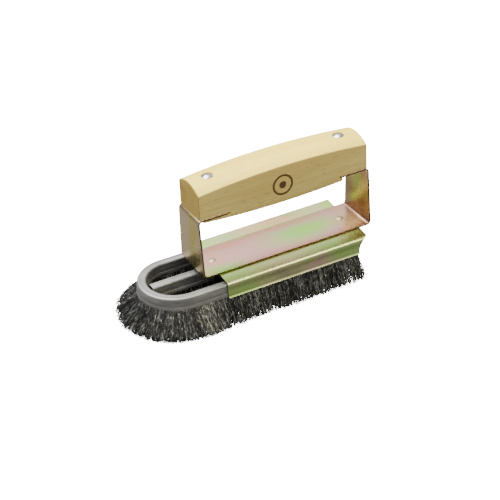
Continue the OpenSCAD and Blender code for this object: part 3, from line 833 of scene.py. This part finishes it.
def make_brush():
    """The wires of both strips, in pieces that each stay under the triangle limit."""
    wire_steel("wire")
    density = WIRES_A_MM / MM * 1
    leg = LEG_END_X - BEND_X
    half = BEND_X + leg / 2
    per_half = int(density * leg / 2)
    for word, side in (("front", -1), ("back", 1)):
        leg_wires(f"wires_{word}_leg_left", side, per_half, BEND_X, half)
        leg_wires(f"wires_{word}_leg_right", side, per_half, half, LEG_END_X)
        count = int(BEND_DENSER * density * math.pi * BEND_R / 2)
        bend = bend_wires(f"wires_bend_{word}", count, *sorted((0, side * math.pi / 2)))
    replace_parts(bend, "u_strip_wires")
    middle = (mid_lo.x + mid_hi.x) / 2
    count = int(density * CENTRE_THIN * (mid_hi.x - middle))
    centre_wires("wires_centre_left", count, mid_lo.x, middle)
    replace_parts(centre_wires("wires_centre_right", count, middle, mid_hi.x), "centre_strip_wires")


# ---------- finishes of the sheet metal and of the CAD nodes that stay ----------

def bracket_finish():
    """Pink and lilac ground with green along the back and in the middle, gold-brown legs."""
    return chromate("chromate_bracket", [(0.25, LILAC), (0.45, PINK), (0.6, LILAC), (0.8, TAN)], [
        ((0, 17, 37), (70, 5, 14), GREEN, 0.75), ((-38, 11, 37), (26, 5, 14), SALMON, 0.8),
        ((8, 14, 37), (52, 5, 14), SALMON, 0.95), ((20, 0, 37), (44, 18, 14), GREEN, 1.0),
        ((22, 1, 37), (22, 8, 14), LIME, 0.5), ((-54, -15, 37), (28, 12, 14), GREEN, 0.9),
        ((-64, 0, 37), (5, 20, 14), GREEN, 0.5), ((57, -4, 37), (14, 24, 14), TAN, 0.8),
        ((-69, 0, 60), (16, 60, 50), STRAW, 1.0), ((-69, -3, 64), (16, 10, 26), GOLD, 0.9),
        ((-68, -2, 48), (16, 6, 14), OLIVE, 0.5), ((67, 0, 58), (14, 40, 34), AMBER, 1.0),
        ((67, 5, 72), (14, 20, 18), GOLD, 0.95), ((67, 2, 70), (14, 6, 12), LIME, 0.6),
        ((67, -8, 48), (14, 12, 12), BROWN, 0.8)])


def carrier_finish():
    """Olive and green ground with a purple stain on the front lip and a pink one at the back."""
    ground = [(0.25, "A8AC64"), (0.45, "B4C480"), (0.62, "BEB68C"), (0.8, "A6A866")]
    return chromate("chromate_carrier", ground, [
        ((-45, -24, 34), (30, 8, 7), GREEN, 0.8), ((-2, -22, 34), (26, 7, 7), "C4C490", 0.7),
        ((28, -24, 34), (18, 7, 7), GREEN, 0.85), ((56, -24, 34), (12, 10, 7), "B8BA6C", 0.9),
        ((-40, -30, 27), (26, 7, 7), GREEN, 0.6), ((-8, -30, 27), (20, 7, 7), "A09C7C", 0.8),
        ((17, -30, 26), (16, 7, 7), LILAC, 0.8), ((42, -30, 28), (18, 7, 7), GREEN, 0.5),
        ((-46, 24, 38), (34, 9, 8), GREEN, 0.85), ((8, 23, 38), (40, 9, 8), SALMON, 0.7),
        ((10, 28, 38), (30, 4, 8), OLIVE, 0.6), ((56, 24, 38), (16, 11, 8), LIME, 0.85)],
        seed=5)


def paint_nodes():
    """Finishes for the CAD nodes that stay."""
    ground = [(0.25, OLIVE), (0.45, GREEN), (0.62, TAN), (0.8, OLIVE)]
    rail = chromate("chromate_inside", ground, [], seed=9)
    low_rivet = chromate("chromate_rivet", [(0.3, "B89C84"), (0.7, "D4BCA4")], [], roughness=0.34)
    rivets = bright_zinc("bright_zinc")
    core = wire_steel("core_wire")
    finish = {"spacer_rail_front": rail, "spacer_rail_back": rail, "base_rivet_left": low_rivet,
              "base_rivet_right": low_rivet, "handle_rivet_left": rivets,
              "handle_rivet_right": rivets, "u_strip_core_wire": core,
              "centre_strip_core_wire": core}
    for node, material in finish.items():
        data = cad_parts[node].data
        data.materials.clear()
        data.materials.append(material)


# ---------- floor, lights and camera ----------

VIEW_AZIMUTH = math.radians(-27.07)
VIEW_ELEVATION = math.radians(32.34)
VIEW_ROLL = math.radians(-3.03)
VIEW_DISTANCE = 1.288
VIEW_AIM = Vector((-22.4, 0.3, 34.9)) * MM
LENS = 128.61

FLOOR_HALF = 6.0
FLOOR_DROP = 0.2 * MM              # below the wire tips
FLOOR_GREY = 0.12                  # what the floor gives back to the brush
FLOOR_GLOW = 25.0                  # what makes the camera see it pale
SKY_LOW, SKY_HIGH = (0.1, 0.1, 0.11, 1), (1, 1, 1, 1)
SKY_STRENGTH = 0.9
WHITE, WARM = (1.0, 1.0, 1.0), (1.0, 0.95, 0.50)

# Area lamps that all face the brush: name, place, size, power in watts and colour
LAMPS = (("overhead", (-0.20, 0.40, 1.30), (1.1, 1.1), 56, WHITE),
         ("back_sky", (0.55, 0.98, 0.90), (1.4, 1.1), 6, WHITE),
         ("left_fill", (-1.30, -0.30, 0.80), (0.9, 0.9), 2.5, WHITE),
         ("ridge_strip", (0.50, -0.67, 0.95), (0.6, 0.07), 8, WARM),
         ("front_fill", (0.60, -1.40, 0.80), (1.0, 1.0), 3, WHITE))
LAMPS_FACE = Vector((0, 0, 0.05))


def make_floor():
    """A plain floor that the camera sees pale, and that throws little light back."""
    mesh = bpy.data.meshes.new("floor")
    h = FLOOR_HALF
    mesh.from_pydata([(-h, -h, 0), (h, -h, 0), (h, h, 0), (-h, h, 0)], [], [(0, 1, 2, 3)])
    floor = new_object("floor", mesh)
    floor.location.z = -FLOOR_DROP
    paint = Paint("floor")
    paint.finish(Base_Color=(FLOOR_GREY, FLOOR_GREY, FLOOR_GREY, 1), Roughness=0.9,
                 Emission_Color=(1, 1, 1, 1))
    seen = paint.add("ShaderNodeLightPath").outputs["Is Camera Ray"]
    glow = paint.math("MULTIPLY", seen, FLOOR_GLOW)
    paint.set(paint.shader.inputs["Emission Strength"], glow)
    mesh.materials.append(paint.material)


def make_lights():
    """A sky that is darker near the horizon, and the lamps."""

    world = bpy.data.worlds.new("studio")
    bpy.context.scene.world = world
    world.use_nodes = True
    tree = world.node_tree
    place = tree.nodes.new("ShaderNodeTexCoord")
    split = tree.nodes.new("ShaderNodeSeparateXYZ")
    sky = tree.nodes.new("ShaderNodeValToRGB")
    tree.links.new(place.outputs["Generated"], split.inputs[0])
    tree.links.new(split.outputs["Z"], sky.inputs["Fac"])
    tree.links.new(sky.outputs["Color"], tree.nodes["Background"].inputs["Color"])
    for point, position, colour in zip(sky.color_ramp.elements, (0.05, 0.75), (SKY_LOW, SKY_HIGH)):
        point.position, point.color = position, colour
    tree.nodes["Background"].inputs["Strength"].default_value = SKY_STRENGTH

    for name, place, size, power, colour in LAMPS:
        lamp = bpy.data.lights.new(name, "AREA")
        lamp.shape = "RECTANGLE"
        lamp.size, lamp.size_y = size
        lamp.energy, lamp.color = power, colour
        holder = bpy.data.objects.new(name, lamp)
        holder.location = place
        holder.rotation_mode = "QUATERNION"
        holder.rotation_quaternion = (LAMPS_FACE - Vector(place)).to_track_quat("-Z", "Y")
        bpy.context.scene.collection.objects.link(holder)


def make_camera():
    """The camera, placed by its bearing, height angle, roll and distance from what it looks at."""
    lens = bpy.data.cameras.new("camera")
    lens.lens, lens.sensor_width = LENS, 36
    camera = bpy.data.objects.new("camera", lens)
    back = Vector((math.sin(VIEW_AZIMUTH) * math.cos(VIEW_ELEVATION),
                   -math.cos(VIEW_AZIMUTH) * math.cos(VIEW_ELEVATION), math.sin(VIEW_ELEVATION)))
    camera.location = VIEW_AIM + back * VIEW_DISTANCE
    camera.rotation_mode = "QUATERNION"
    camera.rotation_quaternion = (-back).to_track_quat("-Z", "Y") @ Quaternion((0, 0, 1), VIEW_ROLL)
    bpy.context.scene.collection.objects.link(camera)
    bpy.context.scene.camera = camera


make_handle()
make_bracket()
make_carrier()
make_channels()
make_brush()
paint_nodes()
make_floor()
make_lights()
make_camera()
